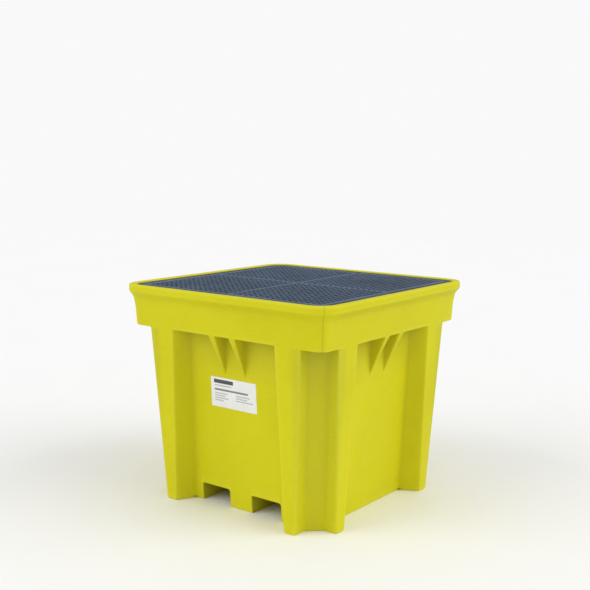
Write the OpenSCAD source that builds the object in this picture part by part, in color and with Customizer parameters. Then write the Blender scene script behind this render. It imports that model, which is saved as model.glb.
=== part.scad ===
// Spill containment pallet: a deep one-piece sump that holds a tote's whole contents,
// with a lift-out grating deck in its rim and fork channels under its floor.
// Millimetres. Origin at the middle of the base, on the ground; front is -Y, up is +Z.

/* [Sump] */
// Width over the rim lip, the same from side to side and front to back
rim_w = 1354; // [1340:2:1380]
// Height from the ground to the top of the rim lip
sump_h = 1132; // [1110:2:1150]
// Width over the corner posts at the ground
base_w = 1136; // [1110:2:1150]
// Width at the underside of the rim band
band_w = 1246; // [1236:2:1256]
// Height of the underside of the rim band above the ground
band_z = 913; // [890:1:930]
// Thickness of the moulded wall
wall = 8; // [6:0.5:9]
// Height and width of the small chamfer round the foot of the sump
foot_chamfer = 8; // [4:1:10]

/* [Rim] */
// Width of the flat-topped lip
lip_w = 40; // [34:1:42]
// Height of the lip's upright outer face, its rounded top edge included
lip_face_h = 36; // [30:1:38]
// Radius of the lip's outer top edge
lip_outer_r = 12; // [8:1:14]
// Radius of the lip's inner top edge
lip_inner_r = 6; // [3:1:8]
// Radius of the deck opening's corners in plan
opening_r = 86; // [80:1:96]
// Radius of the band's corners in plan, smaller than the lip's
band_r = 46; // [42:1:60]
// Radius of the concave cove under the lip
cove_r = 40; // [30:1:50]
// Steepest lean of the cove from upright, in degrees
cove_lean = 50; // [45:1:55]

/* [Posts and panels] */
// Depth of the corner notches at the ground
notch_base = 144; // [136:1:150]
// Depth of the corner notches under the band
notch_top = 129; // [124:1:136]
// Width of the chamfer across the inside corner of each notch
notch_chamfer = 70; // [60:1:76]
// Half width of the recess between two posts at the ground
recess_base = 359; // [350:1:366]
// Half width of the recess between two posts under the band
recess_top = 336; // [330:1:344]
// Sideways run of the recess's slanted flanks
flank_run = 52; // [44:1:60]
// Depth of the recessed panel behind the posts at the ground
panel_base = 105; // [96:1:110]
// Depth of the recessed panel behind the posts under the band
panel_top = 90; // [84:1:96]

/* [Gussets] */
// Distance from the middle of a side to the middle of each gusset
gusset_x = 66; // [56:1:76]
// Width of a gusset where it meets the band
gusset_w = 38; // [30:1:46]
// Height of a gusset's pointed foot above the ground
gusset_z = 708; // [680:1:740]

/* [Fork channels] */
// Distance from the middle to the near side of each channel
fork_in = 75; // [70:1:76]
// Distance from the middle to the far side of each channel
fork_out = 259; // [250:1:266]
// Height of each channel
fork_h = 90; // [80:1:100]
// Radius of the channels' top corners
fork_r = 12; // [8:1:26]

/* [Deck] */
// Depth of the grating
deck_h = 38; // [30:1:40]
// How far the top of the deck lies below the top of the rim
deck_drop = 5; // [3:1:12]
// Gap between the deck and the rim
deck_gap = 4; // [3:0.5:6]
// Gap between neighbouring deck panels
panel_gap = 3; // [2:0.5:4]
// Width of the deck's solid border along the rim
deck_border = 70; // [40:2:80]
// Width of a panel's solid edge along a neighbouring panel
deck_seam = 14; // [8:1:20]
// Thickness of the grating bars
bar_w = 7; // [5:0.5:9]
// Openings along each side of a deck panel
cells = 16; // [12:1:18]

/* [Supports] */
// Distance between the support columns' centres
column_pitch = 345; // [342:1:350]
// Outside diameter of a support column
column_d = 110; // [100:1:112]
// Wall thickness of a support column
column_wall = 6; // [4:0.5:8]
// Width of the square cap on each column
cap_w = 160; // [130:1:170]
// Thickness of the cap's plate
cap_h = 12; // [8:1:16]
// Depth of the cap's spigot in the column
spigot_h = 45; // [30:1:60]

/* [Label] */
// Width of the label
label_w = 300; // [280:1:310]
// Height of the label
label_h = 155; // [140:1:160]
// Height of the label's middle above the ground
label_z = 604; // [560:1:620]
// Offset of the label's middle to the side
label_x = -14; // [-20:1:20]

/* [Hidden] */
COLUMN_NAMES = [for (i = [1:9]) str("support_column_", i)];
CAP_NAMES = [for (i = [1:9]) str("column_cap_", i)];
DECK_NAMES = ["deck_front_left", "deck_front_right", "deck_rear_left", "deck_rear_right"];

fit_gap = 0.3;          // clearance between the deck and what it rests on
past = 1;               // how far a cutter runs past the face that it cuts
cut_below = 20;         // how far the channels' cutter runs below the ground
label_t = 0.8;
label_gap = 0.05;       // film of adhesive behind the label
arc_steps = 8;          // segments in each rounded corner of the rim
ledge_r = 80;           // radius of the corners inside the wall, at the deck ledge
shelf_rise = 2;         // slope given to the underside of the band
gusset_tip_w = 8;
gusset_tip_inside = 1.5; // half width of a gusset's foot on the inside of the wall
gusset_side = 1;        // sideways run of a gusset's sides at its foot
gusset_draft = 3;       // how much more the sides run out under the band
gusset_lift = 3;        // wall thicknesses from a gusset's foot up to where its hollow starts
hub_margin = 40;        // from a notch's inside corner to the nearest point of a flat end
root2 = sqrt(2);
first_crease = 2;       // place in a side's list of the recess's left and right creases
last_crease = 11;

rim_half = rim_w / 2;
base_half = base_w / 2;
band_half = band_w / 2;
opening_half = rim_half - lip_w;
arc_centre = opening_half - opening_r;
deck_top_z = sump_h - deck_drop;
deck_z = deck_top_z - deck_h;
ledge_z = deck_z - fit_gap;
lip_z = sump_h - lip_face_h;
deck_half = opening_half - deck_gap;
cap_z = ledge_z - cap_h;
spigot_d = column_d - 2 * column_wall - 1;

yellow = [0.83, 0.81, 0.12];
slate = [0.17, 0.19, 0.25];
black = [0.12, 0.12, 0.13];
grey = [0.42, 0.43, 0.45];
white = [0.93, 0.93, 0.96];

// Straight change from a at the ground to b under the band, at height h
function drafted(a, b, h) = a + (b - a) * h / band_z;
// Half the sump's width over its posts and band at height h
function half_at(h) = drafted(base_half, band_half, h);
// Distance of the panels' outer face from the sump's middle at height h
function panel_at(h) = half_at(h) - drafted(panel_base, panel_top, h);
// How far a gusset has grown at height h, from 0 at its foot to 1 under the band
function gusset_growth(h, inset) =
    let (foot = gusset_z + gusset_lift * inset)
    max(0, min(1, (h - inset - foot) / (band_z - foot)));

// The outlines run anticlockwise. Each side is a list of [along, out] points from left to right,
// followed by the points of the corner to its right. inset moves the outline in by a wall.

// Recessed panel's two gussets on one side
function gusset_points(h, inset, middle) =
    let (
        grown = gusset_growth(h, inset),
        panel = panel_at(h) - inset,
        front = panel + (half_at(h) - inset - panel) * grown,
        tip = max(gusset_tip_inside, gusset_tip_w / 2 - inset),
        half_w = tip + (gusset_w / 2 - inset - tip) * grown,
        foot_w = half_w + gusset_side + gusset_draft * grown
    )
    [
        [middle - foot_w, panel], [middle - half_w, front],
        [middle + half_w, front], [middle + foot_w, panel]
    ];

// Notch beside a post, with the chamfer across its inside corner
function notch_points(h, inset) =
    let (
        half = half_at(h) - inset,
        corner = half_at(h) - drafted(notch_base, notch_top, h) - inset,
        chamfer = notch_chamfer + inset * (2 - root2),
        depth = half - corner - chamfer,
        side = [for (f = [0.5, 0.25]) [corner, corner + chamfer + depth * f]],
        back = [for (i = [0:4]) [corner + chamfer * i / 4, corner + chamfer * (4 - i) / 4]]
    )
    concat(side, back, [for (f = [0.25, 0.5]) [corner + chamfer + depth * f, corner]]);

// One side of the body below the band
function body_side(h, inset) =
    let (
        half = half_at(h) - inset,
        corner = half_at(h) - drafted(notch_base, notch_top, h) - inset,
        depth = drafted(panel_base, panel_top, h),
        flank = sqrt(depth * depth + flank_run * flank_run),
        edge = drafted(recess_base, recess_top, h) + inset * (flank - flank_run) / depth,
        panel = panel_at(h) - inset
    )
    concat(
        [[-corner, half], [-edge, half], [flank_run - edge, panel]],
        gusset_points(h, inset, -gusset_x),
        gusset_points(h, inset, gusset_x),
        [[edge - flank_run, panel], [edge, half], [corner, half]],
        notch_points(h, inset)
    );

// One side of a rounded square of half width half, with corners of radius r and with its points
// in line with the body's
function rim_side(half, r) =
    let (
        above = body_side(band_z, 0),
        face = len(above) - arc_steps - 1,
        centre = half - r
    )
    concat(
        [for (i = [0:face - 1]) [above[i][0], half]],
        [for (i = [0:arc_steps])
            [centre + r * sin(90 * i / arc_steps), centre + r * cos(90 * i / arc_steps)]]
    );

// Turns a side into a whole ring of points at height z
function ring(side, z) = [
    for (turn = [0:3], p = side)
        [p[0] * cos(90 * turn) + p[1] * sin(90 * turn), p[0] * sin(90 * turn) - p[1] * cos(90 * turn), z]
];

// The rim's section as [half width, height, corner radius], from under the cove over the lip to the
// deck ledge
function rim_section() =
    let (
        straight_rise = (rim_half - half_at(lip_z) - cove_r * (1 - cos(cove_lean))) / tan(cove_lean),
        cove_z = lip_z - straight_rise - cove_r * sin(cove_lean),
        cove_half = half_at(lip_z),
        cove = [for (a = [0:cove_lean / 3:cove_lean])
            [cove_half + cove_r * (1 - cos(a)), cove_z + cove_r * sin(a)]],
        lip = concat(
            [[rim_half, lip_z]],
            [for (a = [0:30:90])
                [rim_half - lip_outer_r * (1 - cos(a)), sump_h - lip_outer_r * (1 - sin(a))]],
            [for (a = [90:-30:0])
                [opening_half + lip_inner_r * (1 - cos(a)), sump_h - lip_inner_r * (1 - sin(a))]],
            [[opening_half, ledge_z]]
        )
    )
    concat(
        [for (p = cove) [p[0], p[1], flared_r(p[0], cove_half)]],
        [for (p = lip) [p[0], p[1], p[0] - arc_centre]],
        [[half_at(ledge_z) - wall, ledge_z, ledge_r]]
    );

// Corner radius that grows from the band's to the lip's over the cove
function flared_r(half, cove_half) =
    band_r + (rim_half - arc_centre - band_r) * (half - cove_half) / (rim_half - cove_half);

// Every ring of the sump, up the outside, over the rim and down the inside
function sump_rings() = concat(
    [ring(body_side(0, foot_chamfer), 0)],
    [for (h = [foot_chamfer, gusset_z, band_z]) ring(body_side(h, 0), h)],
    [ring(rim_side(half_at(band_z + shelf_rise), band_r), band_z + shelf_rise)],
    [for (s = rim_section()) ring(rim_side(s[0], s[2]), s[1])],
    [ring(rim_side(half_at(band_z + wall + shelf_rise) - wall, band_r - wall), band_z + wall + shelf_rise)],
    [for (h = [band_z + wall, gusset_z + (gusset_lift + 1) * wall, wall]) ring(body_side(h, wall), h)]
);

// Faces of a flat end. first is the ring's first point and hub the end's middle point, followed by
// one point inside each corner, so that every triangle has some width.
function end_faces(first, hub, per_side, flip) = [
    for (turn = [0:3])
        let (
            near = turn * per_side,
            count = 4 * per_side,
            corner_hub = hub + 1 + turn,
            before = [
                for (i = [first_crease:last_crease - 1]) [hub, first + near + i, first + near + i + 1]
            ],
            beside = [
                [hub, first + near + last_crease, corner_hub],
                [hub, corner_hub, first + (near + per_side + first_crease) % count]
            ],
            around = [
                for (i = [last_crease:per_side + first_crease - 1])
                    [corner_hub, first + (near + i) % count, first + (near + i + 1) % count]
            ]
        )
        for (f = concat(before, beside, around)) flip ? [f[0], f[2], f[1]] : f
];

// Middle point of a flat end at height z, and one point inside each of its corners
function end_points(out, z) =
    concat([[0, 0, z]], [for (s = [[1, -1], [1, 1], [-1, 1], [-1, -1]]) [s[0] * out, s[1] * out, z]]);

// Closed solid through a list of rings, with a flat end at the first and the last
module loft(rings) {
    count = len(rings[0]);
    last = (len(rings) - 1) * count;
    hub_out = base_half - notch_base - hub_margin;
    sides = [
        for (i = [0:len(rings) - 2], j = [0:count - 1])
            let (a = i * count + j, b = i * count + (j + 1) % count)
            each [[a, a + count, b], [b, a + count, b + count]]
    ];
    points = concat([for (r = rings, p = r) p],
        end_points(hub_out, rings[0][0][2]), end_points(hub_out, rings[len(rings) - 1][0][2]));
    polyhedron(points, concat(sides,
        end_faces(0, last + count, count / 4, false),
        end_faces(last, last + count + 5, count / 4, true)), convexity = 12);
}

// Section of a fork channel in X and Z, grown by a wall
module channel_section(grow) {
    w = fork_out - fork_in + 2 * grow;
    r = fork_r + grow;
    below = grow > 0 ? 0 : cut_below;
    translate([fork_in - grow, 0]) difference() {
        translate([0, -below]) square([w, fork_h + grow + below]);
        for (side = [0, 1])
            translate([side * w, fork_h + grow]) mirror([side, 0]) difference() {
                translate([-past, -r]) square([r + past, r + past]);
                translate([r, -r]) circle(r, $fn = 48);
            }
    }
}

module along_y(length) {
    translate([0, length / 2, 0]) rotate([90, 0, 0]) linear_extrude(length) children();
}

// Both fork channels as solids of the given length
module channels(grow, length) {
    for (side = [0, 1]) mirror([side, 0, 0]) along_y(length) channel_section(grow);
}

// Walls round the fork channels, ending within the thickness of the front and rear panels
module channel_walls() {
    top = fork_h + wall;
    ends = [
        [panel_at(0) - foot_chamfer - past, 0],
        [panel_at(foot_chamfer) - wall / 2, foot_chamfer],
        [panel_at(top) - wall / 2, top]
    ];
    intersection() {
        channels(wall, 2 * rim_w);
        rotate([90, 0, 90]) translate([0, 0, -rim_half]) linear_extrude(rim_w)
            polygon(concat(ends, [for (i = [2:-1:0]) [-ends[i][0], ends[i][1]]]));
    }
}

// One-piece moulded tub with its rim, posts, gussets and fork channels
module sump() {
    color(yellow) difference() {
        union() {
            loft(sump_rings());
            channel_walls();
        }
        channels(0, 2 * rim_w);
    }
}

// Stick-on label on the front panel, leaning with it
module label() {
    lean = atan((panel_at(band_z) - panel_at(0)) / band_z);
    color(white)
        translate([label_x, -panel_at(label_z) - label_gap, label_z])
            rotate([lean, 0, 0])
                translate([-label_w / 2, -label_t, -label_h / 2]) cube([label_w, label_t, label_h]);
}

// Quarter of the deck, with its outer corner rounded
module deck_outline() {
    near = panel_gap / 2;
    r = deck_half - arc_centre;
    difference() {
        translate([near, near]) square(deck_half - near);
        difference() {
            translate([arc_centre, arc_centre]) square(r + past);
            translate([arc_centre, arc_centre]) circle(r, $fn = 96);
        }
    }
}

// Grating panel for one quarter of the deck, on the +X +Y side
module deck_panel() {
    start = panel_gap / 2 + deck_seam;
    pitch = (deck_half - deck_border - start + bar_w) / cells;
    color(slate) translate([0, 0, deck_z]) linear_extrude(deck_h) difference() {
        deck_outline();
        for (i = [0:cells - 1], j = [0:cells - 1])
            translate([start + i * pitch, start + j * pitch]) square(pitch - bar_w);
    }
}

// Puts its children at column i, counted from the front left
module at_column(i) {
    translate([(i % 3 - 1) * column_pitch, (floor(i / 3) - 1) * column_pitch, 0]) children();
}

// Pipe that stands on the sump's floor under the deck
module support_column(i) {
    color(grey) at_column(i) translate([0, 0, wall]) difference() {
        cylinder(h = cap_z - wall, d = column_d, $fn = 64);
        translate([0, 0, -past])
            cylinder(h = cap_z - wall + 2 * past, d = column_d - 2 * column_wall, $fn = 64);
    }
}

// Square cap that spreads the deck's load on a column
module column_cap(i) {
    color(black) at_column(i) {
        translate([-cap_w / 2, -cap_w / 2, cap_z]) cube([cap_w, cap_w, cap_h]);
        translate([0, 0, cap_z - spigot_h]) difference() {
            cylinder(h = spigot_h, d = spigot_d, $fn = 64);
            translate([0, 0, -past])
                cylinder(h = spigot_h + past, d = spigot_d - 2 * column_wall, $fn = 64);
        }
    }
}

sump();
label();
mirror([1, 0, 0]) mirror([0, 1, 0]) deck_panel();  // deck_front_left
mirror([0, 1, 0]) deck_panel();  // deck_front_right
mirror([1, 0, 0]) deck_panel();  // deck_rear_left
deck_panel();  // deck_rear_right
for (i = [0:8]) {
    support_column(i);
    column_cap(i);
}
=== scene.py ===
"""Looks of the spill containment pallet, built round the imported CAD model. Metres."""
import math

import bmesh
import bpy
from mathutils import Matrix, Vector


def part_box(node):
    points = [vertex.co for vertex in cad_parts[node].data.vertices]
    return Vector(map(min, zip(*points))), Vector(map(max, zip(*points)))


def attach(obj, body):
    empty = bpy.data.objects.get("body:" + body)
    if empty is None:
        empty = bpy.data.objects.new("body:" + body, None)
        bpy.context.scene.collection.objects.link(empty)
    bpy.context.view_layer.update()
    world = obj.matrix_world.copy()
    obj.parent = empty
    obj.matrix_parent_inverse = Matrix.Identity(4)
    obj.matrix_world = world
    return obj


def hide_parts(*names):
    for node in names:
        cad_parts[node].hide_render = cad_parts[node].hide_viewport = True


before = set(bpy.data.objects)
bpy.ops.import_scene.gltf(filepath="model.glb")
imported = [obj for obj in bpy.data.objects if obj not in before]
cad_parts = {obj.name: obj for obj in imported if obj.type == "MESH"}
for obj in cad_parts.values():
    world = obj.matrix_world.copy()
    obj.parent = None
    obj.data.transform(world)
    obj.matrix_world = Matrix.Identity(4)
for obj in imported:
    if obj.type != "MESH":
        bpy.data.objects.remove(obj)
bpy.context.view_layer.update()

ROOT = "sump_and_supports"
DECKS = ("deck_front_left", "deck_front_right", "deck_rear_left", "deck_rear_right")
COLUMNS = 9

# ---------------------------------------------------------------- sizes, as in the CAD

rim_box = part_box("sump")
deck_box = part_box("deck_front_left")
RIM = rim_box[1].x  # half width over the rim lip
TOP = rim_box[1].z  # top of the rim lip
BASE = 0.568  # half width over the posts at the ground
BAND = 0.623  # half width at the underside of the band
BAND_Z = 0.913  # underside of the band
WALL = 0.008  # thickness of the wall and the floor
ARC = 0.551  # from the middle to the centre of the lip's rounded corners
BAND_R = 0.046  # radius of the band's corners in plan
LEDGE_R = 0.080  # radius of the corners inside the wall, at the deck ledge
LIP_W = 0.040
LIP_FACE = 0.036  # height of the lip's upright face
COVE_R = 0.040
COVE_LEAN = math.radians(50)  # lean of the cove's upper end from the upright
COVE_STEPS = 3
SEAT_GAP = 0.0003  # between the ledge and the deck
LEDGE_Z = deck_box[0].z - SEAT_GAP

# Pairs are the value at the ground and the value under the band.
NOTCH = (0.144, 0.129)  # how far a corner notch reaches along each side
RECESS = (0.359, 0.336)  # half width of a panel's recess at the posts' face
PANEL = (0.105, 0.090)  # depth of a panel behind the posts' face
NOTCH_CHAMFER = 0.070  # legs of the slanted face at the back of a notch
FLANK_RUN = 0.052  # how far a recess narrows over its slanted flank

GUSSET_X = 0.066  # from the middle of a side to the middle of a gusset
GUSSET_HALF = 0.019  # half width under the band
GUSSET_Z = 0.708  # height of the foot
GUSSET_TIP = 0.004  # half width at the foot

FORK_IN, FORK_OUT = 0.075, 0.259  # sides of a fork channel, from the middle
FORK_H = 0.090
FORK_R = 0.012  # radius of its upper corners

# ---------------------------------------------------------------- camera

CAMERA_AT = (3.2224, -4.2409, 1.8105)
CAMERA_ANGLES = (38.07, 3.044, 0.329)  # yaw, pitch and roll in degrees
SENSOR_WIDTH = 36  # mm
LENS = 60.13  # mm
LENS_SHIFT = (0.0196, -0.146)


def make_camera():
    """Camera at its place, turned by yaw about Z, tilted down by pitch and rolled about its own axis."""
    yaw, pitch, roll = (math.radians(angle) for angle in CAMERA_ANGLES)
    back = Vector((math.sin(yaw) * math.cos(pitch), -math.cos(yaw) * math.cos(pitch), math.sin(pitch)))
    level = Vector((math.cos(yaw), math.sin(yaw), 0))
    upright = back.cross(level)
    right = level * math.cos(roll) + upright * math.sin(roll)
    up = upright * math.cos(roll) - level * math.sin(roll)
    data = bpy.data.cameras.new("camera")
    data.sensor_width = SENSOR_WIDTH
    data.lens = LENS
    data.shift_x, data.shift_y = LENS_SHIFT
    camera = bpy.data.objects.new("camera", data)
    turn = Matrix((right, up, back)).transposed().to_4x4()
    camera.matrix_world = Matrix.Translation(CAMERA_AT) @ turn
    bpy.context.scene.collection.objects.link(camera)
    bpy.context.scene.camera = camera


make_camera()

# ---------------------------------------------------------------- mesh helpers

def new_piece(name, points, faces):
    """Object with a mesh of the given points and faces, in the scene."""
    mesh = bpy.data.meshes.new(name)
    mesh.from_pydata([tuple(p) for p in points], [], faces)
    mesh.validate()
    mesh.update()
    piece = bpy.data.objects.new(name, mesh)
    bpy.context.scene.collection.objects.link(piece)
    return piece


def loft(name, rings, ends=True, flip=False):
    """Piece through rings of equally many points. With ends it has a flat face at the first and the last.
    flip turns every face over."""
    count, last = len(rings[0]), (len(rings) - 1) * len(rings[0])
    faces = [list(range(count - 1, -1, -1)), list(range(last, last + count))] if ends else []
    for start in range(0, last, count):
        for j in range(count):
            k = (j + 1) % count
            faces.append([start + j, start + k, start + count + k, start + count + j])
    if flip:
        faces = [f[::-1] for f in faces]
    return new_piece(name, [p for r in rings for p in r], faces)


def apply_modifiers(piece):
    """Puts the modifiers' result in the piece's own mesh."""
    bpy.context.view_layer.update()
    evaluated = piece.evaluated_get(bpy.context.evaluated_depsgraph_get())
    mesh = bpy.data.meshes.new_from_object(evaluated)
    piece.modifiers.clear()
    piece.data = mesh
    mesh.name = piece.name


def close_ends(piece):
    """Fills the open ends with flat faces."""
    work = bmesh.new()
    work.from_mesh(piece.data)
    bmesh.ops.holes_fill(work, edges=[e for e in work.edges if e.is_boundary], sides=0)
    bmesh.ops.recalc_face_normals(work, faces=work.faces[:])
    work.to_mesh(piece.data)
    work.free()


def combine(piece, tool, operation):
    """Adds the tool to the piece or takes it away, and removes the tool."""
    cut = piece.modifiers.new("cut", "BOOLEAN")
    cut.operation = operation
    cut.solver = "MANIFOLD"
    cut.object = tool
    apply_modifiers(piece)
    bpy.data.objects.remove(tool)


def mix(a, b, shares):
    """Points part of the way from a to b, with a share of its own for each."""
    return [p.lerp(q, s) for p, q, s in zip(a, b, shares)]


# ---------------------------------------------------------------- sump

EASE = 0.011  # how far a rounded edge reaches to each side
EASE_SHARE = 0.4  # the most of a short side that a rounded edge takes
FLUSH = 0.003  # height over which a flush post face passes into the band

LEAST_TIP = 0.0015  # half width of a gusset's tip where the inset leaves next to nothing
GUSSET_ROOT = 0.001  # how far the root of a gusset reaches past its face to each side, at its foot
GUSSET_SPLAY = 0.003  # and how much further it does so at the band

# Rings between the edges: heights, and [half width, corner radius] on the underside and the floor
MIDWAY = 0.30
BAND_MIDWAY = 0.985
NEAR_FOOT = (-0.08, -0.02, 0, 0.02, 0.09)  # from a gusset's foot
BELOW_LEDGE = 0.05
UNDERSIDE = (0.40, 0.04)
FLOOR_INSIDE = (0.38, 0.04)

# How far from an edge of the rim the next ring lies. The nearer it is, the tighter the edge.
LIP_ROUND = 0.013  # top of the lip, outside
LIP_EDGE = 0.008  # top of the lip, inside, and the upper end of the cove
FACE_EDGE = 0.006  # lower edge of the lip's face, and under the ledge
SEAT_EDGE = 0.003  # crease between the lip and the ledge, upwards
SHELF_EDGE = 0.002  # both ends of the ledge, sideways
SHELF_R = 0.001  # the change of radius that goes with it
COVE_EDGE = 0.020  # below the cove

CHANNEL_STEPS = 6  # in each rounded corner of a fork channel
MOUTH_DEPTHS = (0.0004, 0.0014, 0.003, 0.005, WALL)  # rings of a channel's rounded mouth
AHEAD = 0.006  # where the cut for a channel starts, in front of the panel
BELOW_GROUND = -0.02  # where it starts, in height


def drafted(pair, z):
    """Value at the height z of a pair given at the ground and under the band."""
    return pair[0] + (pair[1] - pair[0]) * z / BAND_Z


def half_at(z):
    """Half width over the posts' faces at the height z."""
    return drafted((BASE, BAND), z)


def panel_at(z):
    """Distance from the middle to a panel's face at the height z."""
    return half_at(z) - drafted(PANEL, z)


def gusset(z, inset, middle):
    """The four corners of a gusset's section, as [along, out] pairs."""
    foot = GUSSET_Z + 3 * inset
    grown = max(0, min(1, (z - inset - foot) / (BAND_Z - foot)))
    panel = panel_at(z) - inset
    front = panel + (half_at(z) - inset - panel) * grown
    tip = max(LEAST_TIP, GUSSET_TIP - inset)
    half = tip + (GUSSET_HALF - inset - tip) * grown
    wide = half + GUSSET_ROOT + GUSSET_SPLAY * grown
    return [(middle - wide, panel), (middle - half, front), (middle + half, front), (middle + wide, panel)]


def body_side(z, inset):
    """Corners of one side below the band, then of the notch to its right, as [along, out] pairs."""
    half = half_at(z) - inset
    corner = half_at(z) - drafted(NOTCH, z) - inset
    depth = drafted(PANEL, z)
    edge = drafted(RECESS, z) + inset * (math.hypot(depth, FLANK_RUN) - FLANK_RUN) / depth
    crease, panel = edge - FLANK_RUN, panel_at(z) - inset
    chamfer = NOTCH_CHAMFER + inset * (2 - math.sqrt(2))
    return [
        (-corner, half), (-edge, half), (-crease, panel),
        *gusset(z, inset, -GUSSET_X), *gusset(z, inset, GUSSET_X),
        (crease, panel), (edge, half), (corner, half),
        (corner, corner + chamfer), (corner + chamfer, corner),
    ]


def turned(side, z):
    """The four sides of a ring from one side."""
    ring = []
    for quarter in range(4):
        c, s = round(math.cos(quarter * math.pi / 2)), round(math.sin(quarter * math.pi / 2))
        ring += [Vector((a * c + o * s, a * s - o * c, z)) for a, o in side]
    return ring


def body_ring(z, inset):
    """Outline below the band, with a point close to each side of every corner so that it rounds."""
    corners = turned(body_side(z, inset), z)
    ring = []
    for i, p in enumerate(corners):
        before, after = corners[i - 1] - p, corners[(i + 1) % len(corners)] - p
        ring.append(p + before.normalized() * min(EASE, before.length * EASE_SHARE))
        ring.append(p)
        ring.append(p + after.normalized() * min(EASE, after.length * EASE_SHARE))
    return ring


PER_SIDE = 3 * len(body_side(0, 0))
ARC_POINTS = 8  # the last seven points of a side and the first of the next
ALONG = [p.x for p in body_ring(BAND_Z, 0)[:PER_SIDE]]


def round_ring(half, r, z):
    """Rounded square with its points in line with the body's. half is its half width."""
    arc = half - r
    scale = min(1, arc / max(ALONG[1:PER_SIDE - ARC_POINTS + 1]))
    step = math.pi / 2 / (ARC_POINTS - 1)
    side = [(-arc, half)]
    side += [(a * scale, half) for a in ALONG[1:PER_SIDE - ARC_POINTS + 1]]
    side += [(arc + r * math.sin(i * step), arc + r * math.cos(i * step)) for i in range(ARC_POINTS - 1)]
    return turned(side, z)


def ledge(z, inset):
    """Rings over the underside of the band, from the panels out to the band's lower edge.
    On the posts, which are flush with the band, they follow the face and lie FLUSH apart."""
    r = BAND_R - inset
    body, rim = body_ring(z, inset), round_ring(half_at(z) - inset, r, z)
    gaps = [(p - q).length for p, q in zip(body, rim)]
    flush = [max(0, 1 - g / EASE) for g in gaps]
    first = mix(body, body_ring(z - FLUSH, inset), flush)
    last = mix(rim, round_ring(half_at(z + FLUSH) - inset, r, z + FLUSH), flush)
    near = [min(1 / 3, EASE / max(g, EASE)) for g in gaps]
    return [first, mix(first, last, near), mix(first, last, [1 - n for n in near]), last]


def rim_section():
    """The rim from the band over the lip to the inside of the ledge, as [half width, radius, height]."""
    lip_z = TOP - LIP_FACE
    cove_half = half_at(lip_z)
    rise = (RIM - cove_half - COVE_R * (1 - math.cos(COVE_LEAN))) / math.tan(COVE_LEAN)
    cove_z = lip_z - rise - COVE_R * math.sin(COVE_LEAN)
    cove = []
    for i in range(COVE_STEPS + 1):
        a = COVE_LEAN * i / COVE_STEPS
        cove.append((cove_half + COVE_R * (1 - math.cos(a)), cove_z + COVE_R * math.sin(a)))
    lean = Vector((math.sin(COVE_LEAN), math.cos(COVE_LEAN))) * LIP_EDGE
    cove.append((RIM - lean.x, lip_z - lean.y))
    lip = [(RIM, lip_z), (RIM, lip_z + FACE_EDGE)]
    lip += [(RIM, TOP - LIP_ROUND), (RIM, TOP), (RIM - LIP_ROUND, TOP)]
    inner = RIM - LIP_W
    lip += [(inner + LIP_EDGE, TOP), (inner, TOP), (inner, TOP - LIP_EDGE)]
    shelf = half_at(LEDGE_Z) - WALL
    lip += [(inner, LEDGE_Z + SEAT_EDGE), (inner, LEDGE_Z)]
    flare = (RIM - ARC - BAND_R) / (RIM - cove_half)
    section = [(half_at(cove_z - COVE_EDGE), BAND_R, cove_z - COVE_EDGE)]
    section += [(half, BAND_R + flare * (half - cove_half), z) for half, z in cove]
    section += [(half, half - ARC, z) for half, z in lip]
    section.append((inner - SHELF_EDGE, inner - ARC - SHELF_R, LEDGE_Z))
    section += [(shelf + SHELF_EDGE, LEDGE_R + SHELF_R, LEDGE_Z), (shelf, LEDGE_R, LEDGE_Z)]
    section.append((shelf - SHELF_R, LEDGE_R, LEDGE_Z - FACE_EDGE))
    return section


def sump_rings():
    """Rings from under the middle up the outside, over the rim and down the inside to the floor."""
    outside = [round_ring(*UNDERSIDE, 0)]
    outside += [body_ring(0, inset) for inset in (2.5 * EASE, EASE / 2, 0)]
    outside += [body_ring(z, 0) for z in (EASE, MIDWAY, *(GUSSET_Z + step for step in NEAR_FOOT))]
    outside.append(body_ring(BAND_Z - EASE, 0))
    outside += ledge(BAND_Z, 0)
    outside += [round_ring(half_at(z), BAND_R, z) for z in (BAND_Z + EASE, BAND_MIDWAY)]
    outside += [round_ring(half, r, z) for half, r, z in rim_section()]
    floor_z, band_z = WALL, BAND_Z + WALL
    inner_r, high_z = BAND_R - WALL, LEDGE_Z - BELOW_LEDGE
    inside = [round_ring(half_at(high_z) - WALL, (LEDGE_R * 2 + inner_r) / 3, high_z)]
    inside.append(round_ring(half_at(band_z + EASE) - WALL, inner_r, band_z + EASE))
    inside += reversed(ledge(band_z, WALL))
    inner_foot = GUSSET_Z + 4 * WALL
    inside.append(body_ring(band_z - EASE, WALL))
    inside += [body_ring(z, WALL) for z in (*(inner_foot + step for step in reversed(NEAR_FOOT)), MIDWAY)]
    inside += [body_ring(z, WALL) for z in (floor_z + EASE, floor_z)]
    inside += [body_ring(floor_z, WALL + EASE), round_ring(*FLOOR_INSIDE, floor_z)]
    return outside + inside


def channel_outline(grow, low):
    """Section of the right-hand fork channel, grown all round, as [x, z] pairs.
    It goes up the channel's left side and down its right side."""
    left, right, top, r = FORK_IN - grow, FORK_OUT + grow, FORK_H + grow, FORK_R + grow
    steps = [math.pi / 2 * i / CHANNEL_STEPS for i in range(CHANNEL_STEPS + 1)]
    rising = [(left + r - r * math.cos(a), top - r + r * math.sin(a)) for a in steps]
    falling = [(right - r + r * math.sin(a), top - r + r * math.cos(a)) for a in steps]
    return [(left, low), *rising, *falling, (right, low)]


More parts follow.
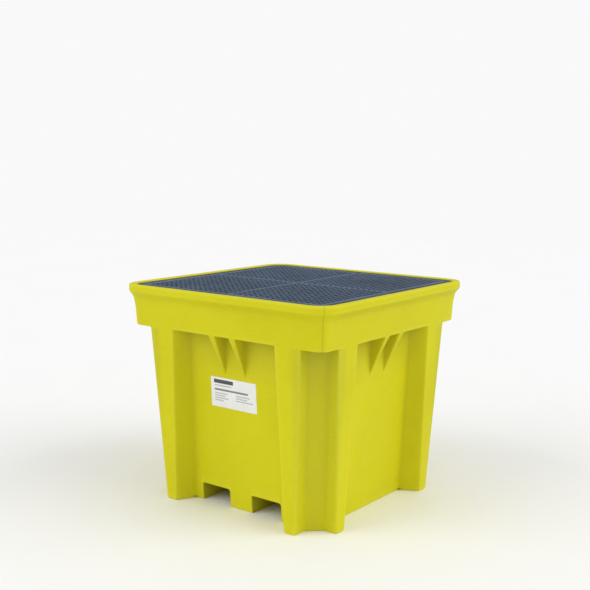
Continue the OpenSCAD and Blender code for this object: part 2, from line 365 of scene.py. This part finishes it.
def channel_body(name, sections, low):
    """Both channels as solids. sections are [depth behind the panel's face, growth] pairs, front to middle;
    the rear is the same mirrored. Every end is parallel to the leaning panel."""
    pieces = []
    for side in (1, -1):
        rings = []
        for y_side, run in ((-1, sections), (1, sections[::-1])):
            for depth, grow in run:
                outline = channel_outline(grow, low)
                rings.append([Vector((side * x, y_side * (panel_at(z) - depth), z)) for x, z in outline])
        pieces.append(loft(name, rings, flip=side < 0))
    return pieces


def make_sump():
    """The tub: a smoothed shell with the channels' ridges added inside and the channels taken out."""
    sump = loft("sump_shell", sump_rings(), ends=False)
    smooth = sump.modifiers.new("smooth", "SUBSURF")
    smooth.levels = smooth.render_levels = 1
    apply_modifiers(sump)
    close_ends(sump)
    for ridge in channel_body("ridge", [(WALL / 2, WALL)], WALL / 2):
        combine(sump, ridge, "UNION")
    flare = [(depth, WALL - math.sqrt(WALL ** 2 - (WALL - depth) ** 2)) for depth in MOUTH_DEPTHS]
    flare.insert(0, (-AHEAD, flare[0][1]))
    for channel in channel_body("channel", flare, BELOW_GROUND):
        combine(sump, channel, "DIFFERENCE")
    for polygon in sump.data.polygons:
        polygon.use_smooth = True
    normals = sump.modifiers.new("normals", "WEIGHTED_NORMAL")
    normals.mode = "FACE_AREA"
    normals.weight = 50
    return sump


# ---------------------------------------------------------------- materials

def add(tree, kind, inputs=None, **settings):
    """New shader node with its settings. Each input is a value or another node's output."""
    node = tree.nodes.new(kind)
    for key, value in settings.items():
        setattr(node, key, value)
    for key, value in (inputs or {}).items():
        if isinstance(value, bpy.types.NodeSocket):
            tree.links.new(value, node.inputs[key])
        else:
            node.inputs[key].default_value = value
    return node


def new_material(name):
    """New material, its nodes and its shader."""
    material = bpy.data.materials.new(name)
    material.use_nodes = True
    return material, material.node_tree, material.node_tree.nodes["Principled BSDF"]


def place(tree):
    """Place on the object in metres, which stays put when its body moves."""
    return add(tree, "ShaderNodeTexCoord").outputs["Object"]


def noise(tree, at, scale, detail=3, rough=0.5):
    inputs = {"Vector": at, "Scale": scale, "Detail": detail, "Roughness": rough}
    return add(tree, "ShaderNodeTexNoise", inputs).outputs["Fac"]


def spread(tree, value, low, high, out_low=0.0, out_high=1.0):
    """Stretches value from low..high to out_low..out_high, and holds it there beyond."""
    inputs = {"Value": value, "From Min": low, "From Max": high, "To Min": out_low, "To Max": out_high}
    return add(tree, "ShaderNodeMapRange", inputs).outputs["Result"]


def blend(tree, share, a, b):
    """Colour a, passing to colour b with the share."""
    inputs = {0: share, 6: a, 7: b}
    return add(tree, "ShaderNodeMix", inputs, data_type="RGBA").outputs[2]


def reckon(tree, operation, *values):
    """Result of a Math node's operation on the values."""
    return add(tree, "ShaderNodeMath", dict(enumerate(values)), operation=operation).outputs[0]


def times(tree, a, b):
    return reckon(tree, "MULTIPLY", a, b)


def apart(tree, vector):
    """The three parts of a vector."""
    return add(tree, "ShaderNodeSeparateXYZ", {0: vector}).outputs


def stretched(tree, at, scale):
    """Place with its three parts scaled, which makes a noise on it longer or shorter along them."""
    return add(tree, "ShaderNodeMapping", {"Vector": at, "Scale": scale}).outputs[0]


def bumps(tree, layers):
    """Stacked bumps. layers are [height, depth in metres] pairs."""
    normal = None
    for height, depth in layers:
        inputs = {"Height": height, "Distance": depth, "Strength": 1.0}
        if normal:
            inputs["Normal"] = normal
        normal = add(tree, "ShaderNodeBump", inputs).outputs["Normal"]
    return normal


def connect(tree, shader, colour, rough, normal):
    tree.links.new(colour, shader.inputs["Base Color"])
    tree.links.new(rough, shader.inputs["Roughness"])
    tree.links.new(normal, shader.inputs["Normal"])


YELLOWS = (0.615, 0.575, 0.006, 1), (0.665, 0.635, 0.008, 1)
YELLOW_SPECK = (0.50, 0.45, 0.008, 1)
YELLOW_GRAIN = (0.50, 0.46, 0.010, 1)
YELLOW_CREASE_SHADE = (0.42, 0.38, 0.008, 1)
YELLOW_EDGE_WEAR_AND_HIGHLIGHT = (0.80, 0.78, 0.06, 1)
NOTCH_SHADE = (0.36, 0.37, 0.040, 1)
HOLLOW_SHADE = (0.33, 0.31, 0.050, 1)
CHANNEL_SHADE = (0.14, 0.10, 0.012, 1)
PARTING_LINE = (0.40, 0.37, 0.02, 1)
SCUFF_DIRT = (0.30, 0.26, 0.07, 1)


def polyethylene():
    """Yellow moulded plastic with a fine grain, a faint orange peel and slow waves. Its edges are lighter,
    as wear and as a painted highlight. Painted shade darkens its creases, corner notches and hollows under
    the band, and darkens its channels still more. It has a parting line on the corners of the rim, and
    light scuffs near the ground."""
    material, tree, shader = new_material("yellow_polyethylene")
    at = place(tree)
    x, y, height = apart(tree, at)
    across, along = reckon(tree, "ABSOLUTE", x), reckon(tree, "ABSOLUTE", y)
    below_band = spread(tree, height, BAND_Z - 0.002, BAND_Z - 0.001, 1, 0)

    cloud = spread(tree, noise(tree, at, 1.7, detail=4), 0.35, 0.65)
    colour = blend(tree, cloud, *YELLOWS)
    speck = spread(tree, noise(tree, at, 260, detail=2), 0.35, 0.65)
    colour = blend(tree, times(tree, speck, 0.10), colour, YELLOW_SPECK)
    grain = spread(tree, noise(tree, stretched(tree, at, (1, 1, 2.6)), 38, detail=5, rough=0.6), 0.38, 0.66)
    colour = blend(tree, times(tree, grain, 0.16), colour, YELLOW_GRAIN)

    point = add(tree, "ShaderNodeNewGeometry").outputs["Pointiness"]
    # Painted shade: concave creases, where pointiness is low, are darker.
    colour = blend(tree, spread(tree, point, 0.455, 0.495, 0.3, 0), colour, YELLOW_CREASE_SHADE)
    # Convex edges are lighter, partly as stress-whitened wear and partly as a painted highlight.
    colour = blend(tree, spread(tree, point, 0.505, 0.56, 0, 0.35), colour, YELLOW_EDGE_WEAR_AND_HIGHLIGHT)

    in_notch = times(tree, spread(tree, reckon(tree, "MINIMUM", across, along), 0.415, 0.455), below_band)
    colour = blend(tree, times(tree, in_notch, 0.24), colour, NOTCH_SHADE)
    post_face = spread(tree, height, 0, BAND_Z, BASE, BAND)
    depth = reckon(tree, "SUBTRACT", post_face, reckon(tree, "MAXIMUM", across, along))
    hollow = times(tree, spread(tree, depth, 0.01, 0.07), spread(tree, height, 0.66, 0.90))
    hollow = times(tree, hollow, below_band)
    colour = blend(tree, times(tree, hollow, 0.28), colour, HOLLOW_SHADE)

    off_middle = reckon(tree, "ABSOLUTE", reckon(tree, "SUBTRACT", across, (FORK_IN + FORK_OUT) / 2))
    half = (FORK_OUT - FORK_IN) / 2
    in_channel = spread(tree, off_middle, half + 0.001, half + 0.003, 1, 0)
    in_channel = times(tree, in_channel, spread(tree, height, FORK_H, FORK_H + 0.002, 1, 0))
    colour = blend(tree, times(tree, in_channel, 0.4), colour, CHANNEL_SHADE)

    off_corner = reckon(tree, "ABSOLUTE", reckon(tree, "SUBTRACT", across, along))
    on_rim = spread(tree, height, BAND_Z - 0.002, BAND_Z, 0, 1)
    parting = times(tree, spread(tree, off_corner, 0.001, 0.006, 1, 0), on_rim)
    colour = blend(tree, times(tree, parting, 0.45), colour, PARTING_LINE)

    scuff = spread(tree, noise(tree, stretched(tree, at, (1, 1, 3.5)), 34, detail=6, rough=0.7), 0.56, 0.70)
    dirt = times(tree, spread(tree, height, 0.0, 0.12, 1, 0), scuff)
    colour = blend(tree, times(tree, dirt, 0.35), colour, SCUFF_DIRT)

    rough = spread(tree, noise(tree, at, 5, detail=5, rough=0.6), 0.3, 0.7, 0.46, 0.60)
    rough = reckon(tree, "ADD", rough, times(tree, dirt, 0.2))
    layers = [(noise(tree, at, 2.6, detail=2), 0.006), (noise(tree, at, 55, detail=2), 0.0005)]
    layers += [(noise(tree, at, 520, detail=2), 0.00012), (reckon(tree, "SUBTRACT", 1.0, parting), 0.0008)]
    connect(tree, shader, colour, rough, bumps(tree, layers))
    shader.inputs["Specular IOR Level"].default_value = 0.13
    return material


SLATES = (0.058, 0.090, 0.142, 1), (0.082, 0.124, 0.194, 1)
SUNK_SHADE = (0.004, 0.005, 0.008, 1)
STRIP_SHADE = (0.006, 0.007, 0.010, 1)
STRIP_W = 0.042  # the darker strip of the deck along the rim
STRIP_SOFT = 0.008  # how much of it fades in
BLACKS = (0.012, 0.012, 0.013, 1), (0.022, 0.022, 0.024, 1)


def moulding(name, dark, light, smoothest, roughest, grit, seed, top=None, edge=None):
    """Moulded plastic or resin for the deck and the caps. grit is the depth of its fine grain in metres,
    and seed its place in the noise. With top and edge it carries painted shade below the height top, down
    in a grating's openings, and is darker in a strip that ends at the distance edge from the middle."""
    material, tree, shader = new_material(name)
    at = add(tree, "ShaderNodeMapping", {"Vector": place(tree), "Location": (seed, 0.37, 0.11)}).outputs[0]
    colour = blend(tree, spread(tree, noise(tree, at, 4, detail=5, rough=0.6), 0.32, 0.68), dark, light)
    speck = spread(tree, noise(tree, at, 420, detail=3, rough=0.6), 0.5, 0.72, 0, 0.28)
    colour = blend(tree, speck, colour, tuple(min(1, c * 1.5) for c in light[:3]) + (1,))
    if top:
        x, y, height = apart(tree, place(tree))
        # Painted shade down in the grating's openings, below the tops of its bars.
        sunk = spread(tree, height, top - 0.0035, top - 0.0008, 0.95, 0)
        colour = blend(tree, sunk, colour, SUNK_SHADE)
        outward = reckon(tree, "MAXIMUM", reckon(tree, "ABSOLUTE", x), reckon(tree, "ABSOLUTE", y))
        strip = spread(tree, outward, edge - STRIP_W, edge - STRIP_W + STRIP_SOFT, 0, 0.85)
        colour = blend(tree, strip, colour, STRIP_SHADE)
    rough = spread(tree, noise(tree, at, 23, detail=4), 0.3, 0.7, smoothest, roughest)
    layers = [(noise(tree, at, 30, detail=3), 0.0004), (noise(tree, at, 620, detail=3, rough=0.6), grit)]
    connect(tree, shader, colour, rough, bumps(tree, layers))
    shader.inputs["Specular IOR Level"].default_value = 0.3
    return material


PIPE_GREYS = (0.27, 0.28, 0.29, 1), (0.33, 0.34, 0.35, 1)
PIPE_DUST = (0.45, 0.44, 0.42, 1)


def pipe():
    """Grey extruded pipe with faint lines along it."""
    material, tree, shader = new_material("column_pipe")
    at = place(tree)
    lines = stretched(tree, at, (1, 1, 0.01))
    tone = spread(tree, noise(tree, lines, 90, detail=3), 0.3, 0.7)
    colour = blend(tree, tone, *PIPE_GREYS)
    dust = spread(tree, noise(tree, at, 12, detail=6, rough=0.7), 0.45, 0.75, 0, 0.3)
    colour = blend(tree, dust, colour, PIPE_DUST)
    rough = spread(tree, noise(tree, at, 18, detail=4), 0.3, 0.7, 0.35, 0.55)
    connect(tree, shader, colour, rough, bumps(tree, [(noise(tree, lines, 220, detail=2), 0.0002)]))
    return material


WHITES = (0.76, 0.77, 0.76, 1), (0.82, 0.83, 0.82, 1)
HEADER, HEADING, LINE = (0.055, 0.065, 0.07, 1), (0.20, 0.21, 0.22, 1), (0.42, 0.43, 0.44, 1)
# Left, right, bottom and top of each bar, as shares of the label's width and height, and its tone
LABEL_BARS = [
    (0.07, 0.50, 0.80, 0.93, HEADER), (0.08, 0.46, 0.71, 0.745, LINE), (0.08, 0.82, 0.555, 0.62, HEADING),
    (0.08, 0.36, 0.445, 0.48, LINE), (0.08, 0.31, 0.365, 0.40, LINE), (0.08, 0.38, 0.285, 0.32, LINE),
    (0.08, 0.27, 0.205, 0.24, LINE), (0.55, 0.86, 0.445, 0.48, LINE), (0.55, 0.80, 0.365, 0.40, LINE),
    (0.55, 0.93, 0.285, 0.32, LINE),
]


def label_film():
    """White film with an invented layout of a header block and grey bars. There is nothing to read."""
    material, tree, shader = new_material("label_film")
    low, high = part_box("label")
    wide, tall = high.x - low.x, high.z - low.z
    at = place(tree)
    to_label = {"Location": (-low.x / wide, 0, -low.z / tall), "Scale": (1 / wide, 1, 1 / tall)}
    unit = add(tree, "ShaderNodeMapping", {"Vector": at, **to_label})
    across, _, up = apart(tree, unit.outputs[0])

    def within(value, a, b):
        return reckon(tree, "COMPARE", value, (a + b) / 2, (b - a) / 2)

    cloud = spread(tree, noise(tree, at, 14, detail=4), 0.3, 0.7)
    colour = blend(tree, cloud, *WHITES)
    for x0, x1, z0, z1, tone in LABEL_BARS:
        colour = blend(tree, times(tree, within(across, x0, x1), within(up, z0, z1)), colour, tone)
    rough = spread(tree, noise(tree, at, 40, detail=3), 0.3, 0.7, 0.28, 0.40)
    connect(tree, shader, colour, rough, bumps(tree, [(noise(tree, at, 18, detail=2), 0.0006)]))
    return material


FLOOR_TONES = (0.93, 0.93, 0.93, 1), (0.95, 0.95, 0.95, 1)


def floor_finish():
    """Plain pale floor, with just enough unevenness not to be a single value."""
    material, tree, shader = new_material("floor_finish")
    at = place(tree)
    colour = blend(tree, noise(tree, at, 0.8, detail=3), *FLOOR_TONES)
    rough = spread(tree, noise(tree, at, 3, detail=3), 0.3, 0.7, 0.75, 0.9)
    connect(tree, shader, colour, rough, bumps(tree, [(noise(tree, at, 60, detail=2), 0.0002)]))
    return material


# ---------------------------------------------------------------- pieces

def dress(piece, material):
    """Gives the piece the material and no other."""
    piece.data.materials.clear()
    piece.data.materials.append(material)


def round_edges(node, width, segments=2):
    """Softens the edges of a CAD node, which keeps its own mesh."""
    weld = node.modifiers.new("weld", "WELD")
    weld.merge_threshold = 0.00001
    bevel = node.modifiers.new("bevel", "BEVEL")
    bevel.width = width
    bevel.segments = segments
    bevel.limit_method = "ANGLE"
    bevel.angle_limit = math.radians(40)
    bevel.harden_normals = True
    for polygon in node.data.polygons:
        polygon.use_smooth = True


def body_piece(piece, node, body, material):
    """Puts the piece in the place of a CAD node."""
    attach(piece, body)
    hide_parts(node)
    dress(piece, material)


yellow = polyethylene()
slate = moulding("deck_moulding", *SLATES, smoothest=0.50, roughest=0.70, grit=0.00035, seed=2.0,
                 top=deck_box[1].z, edge=-deck_box[0].x)
black = moulding("cap_moulding", *BLACKS, smoothest=0.38, roughest=0.58, grit=0.0002, seed=7.0)

body_piece(make_sump(), "sump", ROOT, yellow)
for deck in DECKS:
    dress(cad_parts[deck], slate)
    round_edges(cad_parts[deck], width=0.0015)
grey = pipe()
for i in range(1, COLUMNS + 1):
    column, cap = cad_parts[f"support_column_{i}"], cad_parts[f"column_cap_{i}"]
    dress(column, grey)
    round_edges(column, width=0.001)
    dress(cap, black)
    round_edges(cap, width=0.0025, segments=3)
dress(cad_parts["label"], label_film())

# ---------------------------------------------------------------- floor and light

FLOOR_HALF = 14
FLOOR_Z = -0.0002
WORLD_LIGHT, WORLD_SEEN = 0.69, 0.95
SUN_SOFTNESS = 50


def make_floor():
    corners = ((-1, -1), (1, -1), (1, 1), (-1, 1))
    points = [(FLOOR_HALF * x, FLOOR_HALF * y, FLOOR_Z) for x, y in corners]
    floor = new_piece("floor", points, [[0, 1, 2, 3]])
    dress(floor, floor_finish())


def make_sun(name, towards, strength):
    """Even light from the direction of the point towards, softened over SUN_SOFTNESS degrees."""
    data = bpy.data.lights.new(name, "SUN")
    data.energy = strength
    data.angle = math.radians(SUN_SOFTNESS)
    light = bpy.data.objects.new(name, data)
    light.rotation_euler = Vector(towards).to_track_quat("Z", "Y").to_euler()
    bpy.context.scene.collection.objects.link(light)


def make_world():
    """Even white light from all round. The camera sees it a little brighter than it lights the object."""
    world = bpy.data.worlds.new("studio")
    world.use_nodes = True
    seen = add(world.node_tree, "ShaderNodeLightPath").outputs["Is Camera Ray"]
    strength = spread(world.node_tree, seen, 0, 1, WORLD_LIGHT, WORLD_SEEN)
    backdrop = world.node_tree.nodes["Background"]
    backdrop.inputs["Color"].default_value = (1, 1, 1, 1)
    world.node_tree.links.new(strength, backdrop.inputs["Strength"])
    bpy.context.scene.world = world


make_floor()
make_world()
make_sun("left_panel", (-0.50, -0.85, 0.60), strength=0.90)
make_sun("right_panel", (0.88, 0.32, 0.60), strength=1.10)
bpy.context.scene.view_settings.view_transform = "Standard"
